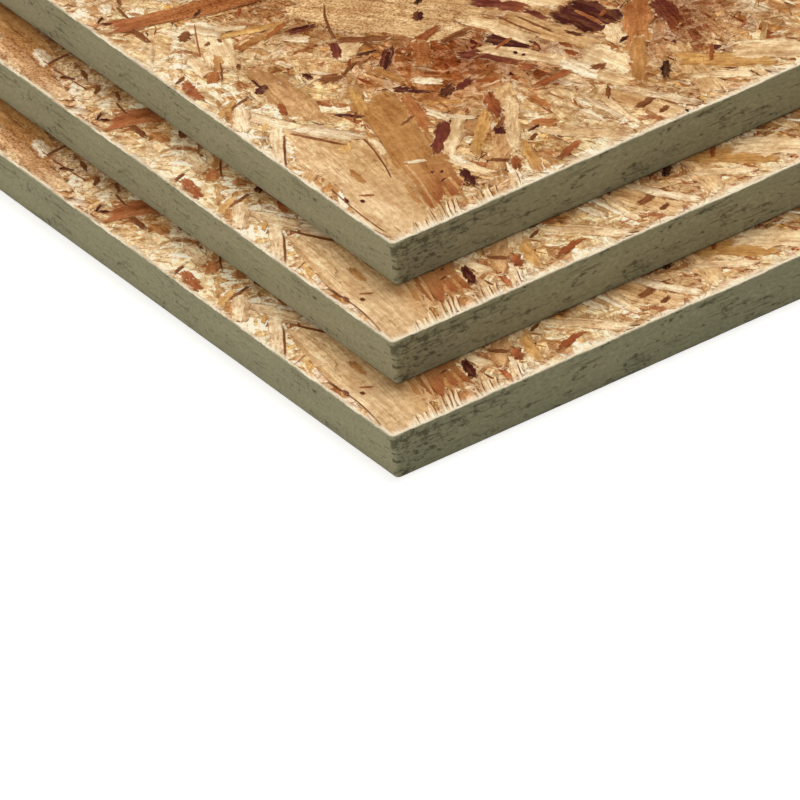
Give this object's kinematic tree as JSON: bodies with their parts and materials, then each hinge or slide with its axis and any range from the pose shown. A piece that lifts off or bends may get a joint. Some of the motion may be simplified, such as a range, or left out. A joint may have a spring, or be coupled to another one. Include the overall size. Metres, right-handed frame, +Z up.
{
  "type": "stack of osb panels",
  "caption": "Loose stack of full-size oriented strand board sheets with sealed edges, lying flat, each upper sheet slid back so that the lower ones show as ledges at one corner.",
  "frame": {"origin": "middle of the stack's bounding box, on the floor that the bottom sheet lies on", "axes": "+X along the length of the sheets, towards the end where the lower sheets show as ledges; +Y across the sheets, away from the long side where they show; +Z up through the thickness"},
  "size_m": [2.503, 1.266, 0.0549],
  "materials": {
    "strand_board": "pressed wood strands in cream, tan, orange and dark brown, lightly rough and matte",
    "edge_seal": "matte olive grey edge sealing paint over sawn strand ends, with small dark pits"
  },
  "bodies": {
    "root": {"bottom_panel": "strand_board", "middle_panel": "strand_board", "top_panel": "strand_board"}
  },
  "joints": []
}
